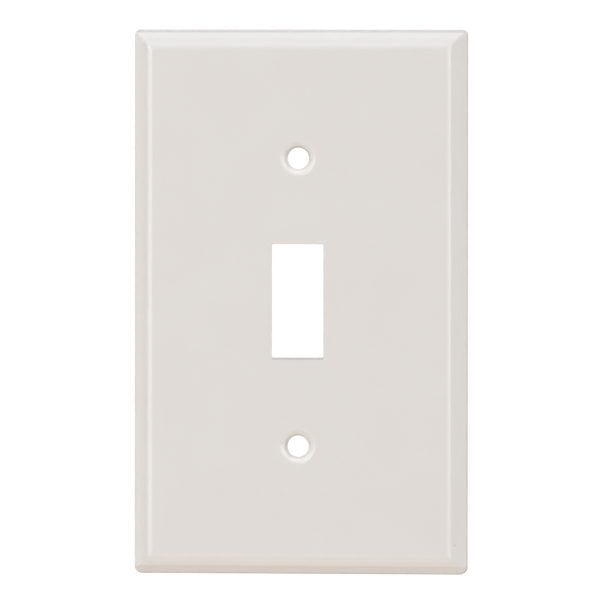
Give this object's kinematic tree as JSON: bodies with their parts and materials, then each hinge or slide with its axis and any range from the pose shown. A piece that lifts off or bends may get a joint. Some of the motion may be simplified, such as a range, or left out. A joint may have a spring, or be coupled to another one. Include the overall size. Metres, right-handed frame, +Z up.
{
  "type": "wall plate cover",
  "caption": "Pressed steel wall plate with bevelled edges, a rectangular toggle opening and dimpled screw holes, hollow behind.",
  "frame": {"origin": "centre of the plate on the wall plane, which its rim rests on", "axes": "+X across the plate, +Y into the wall, +Z up; the face looks towards -Y"},
  "size_m": [0.0704, 0.0056, 0.1142],
  "materials": {
    "white_enamel": "warm white baked enamel, semi-gloss, with a very fine orange peel"
  },
  "bodies": {
    "root": {"wall_plate": "white_enamel"}
  },
  "joints": []
}
